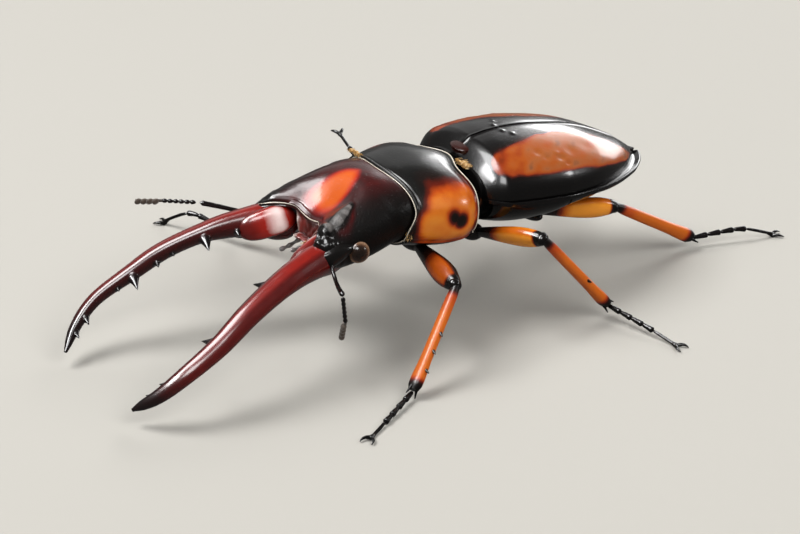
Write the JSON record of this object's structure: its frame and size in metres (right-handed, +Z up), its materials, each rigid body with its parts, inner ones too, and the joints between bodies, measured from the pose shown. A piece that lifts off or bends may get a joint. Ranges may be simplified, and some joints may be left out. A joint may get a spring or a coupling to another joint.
{
  "type": "stag beetle",
  "caption": "Large long-jawed male stag beetle as a still life-size model: open toothed jaws, broad head, domed pronotum and wing cases, six jointed legs, standing on its feet.",
  "frame": {"origin": "on the floor under the middle of the whole footprint, legs and jaws included", "axes": "-Y towards the jaw tips, +Y towards the tail, +X to the animal's left, +Z up from the floor that the feet stand on"},
  "size_m": [0.0712, 0.1, 0.0218],
  "materials": {
    "black_shell": "glossy black chitin",
    "head": "glossy chitin, dark red to black with a red-orange patch on the brow",
    "jaw": "polished blood-red chitin that darkens to black at the teeth and tip",
    "femur": "glossy orange chitin with black ends",
    "tibia": "glossy red-orange chitin with black edges",
    "wing_case": "polished black chitin with a large soft-edged orange-brown patch",
    "eye": "dark brown, wet-looking compound eye",
    "club": "matte grey-brown, finely hairy"
  },
  "bodies": {
    "root": {"wing_case_left": "wing_case", "wing_case_right": "wing_case", "scutellum": "black_shell", "thorax": "black_shell", "abdomen": "black_shell", "pronotum": "black_shell", "eye_left": "eye", "jaw_left": "jaw", "scape_left": "black_shell", "funicle_left": "black_shell", "club_left": "club", "palp_outer_left": "club", "palp_inner_left": "club", "eye_right": "eye", "jaw_right": "jaw", "scape_right": "black_shell", "funicle_right": "black_shell", "club_right": "club", "palp_outer_right": "club", "palp_inner_right": "club", "labrum": "head", "head": "head", "coxa_front_left": "black_shell", "femur_front_left": "femur", "tibia_front_left": "tibia", "tarsus_front_left": "black_shell", "coxa_front_right": "black_shell", "femur_front_right": "femur", "tibia_front_right": "tibia", "tarsus_front_right": "black_shell", "coxa_mid_left": "black_shell", "femur_mid_left": "femur", "tibia_mid_left": "tibia", "tarsus_mid_left": "black_shell", "coxa_mid_right": "black_shell", "femur_mid_right": "femur", "tibia_mid_right": "tibia", "tarsus_mid_right": "black_shell", "coxa_hind_left": "black_shell", "femur_hind_left": "femur", "tibia_hind_left": "tibia", "tarsus_hind_left": "black_shell", "coxa_hind_right": "black_shell", "femur_hind_right": "femur", "tibia_hind_right": "tibia", "tarsus_hind_right": "black_shell"}
  },
  "joints": []
}
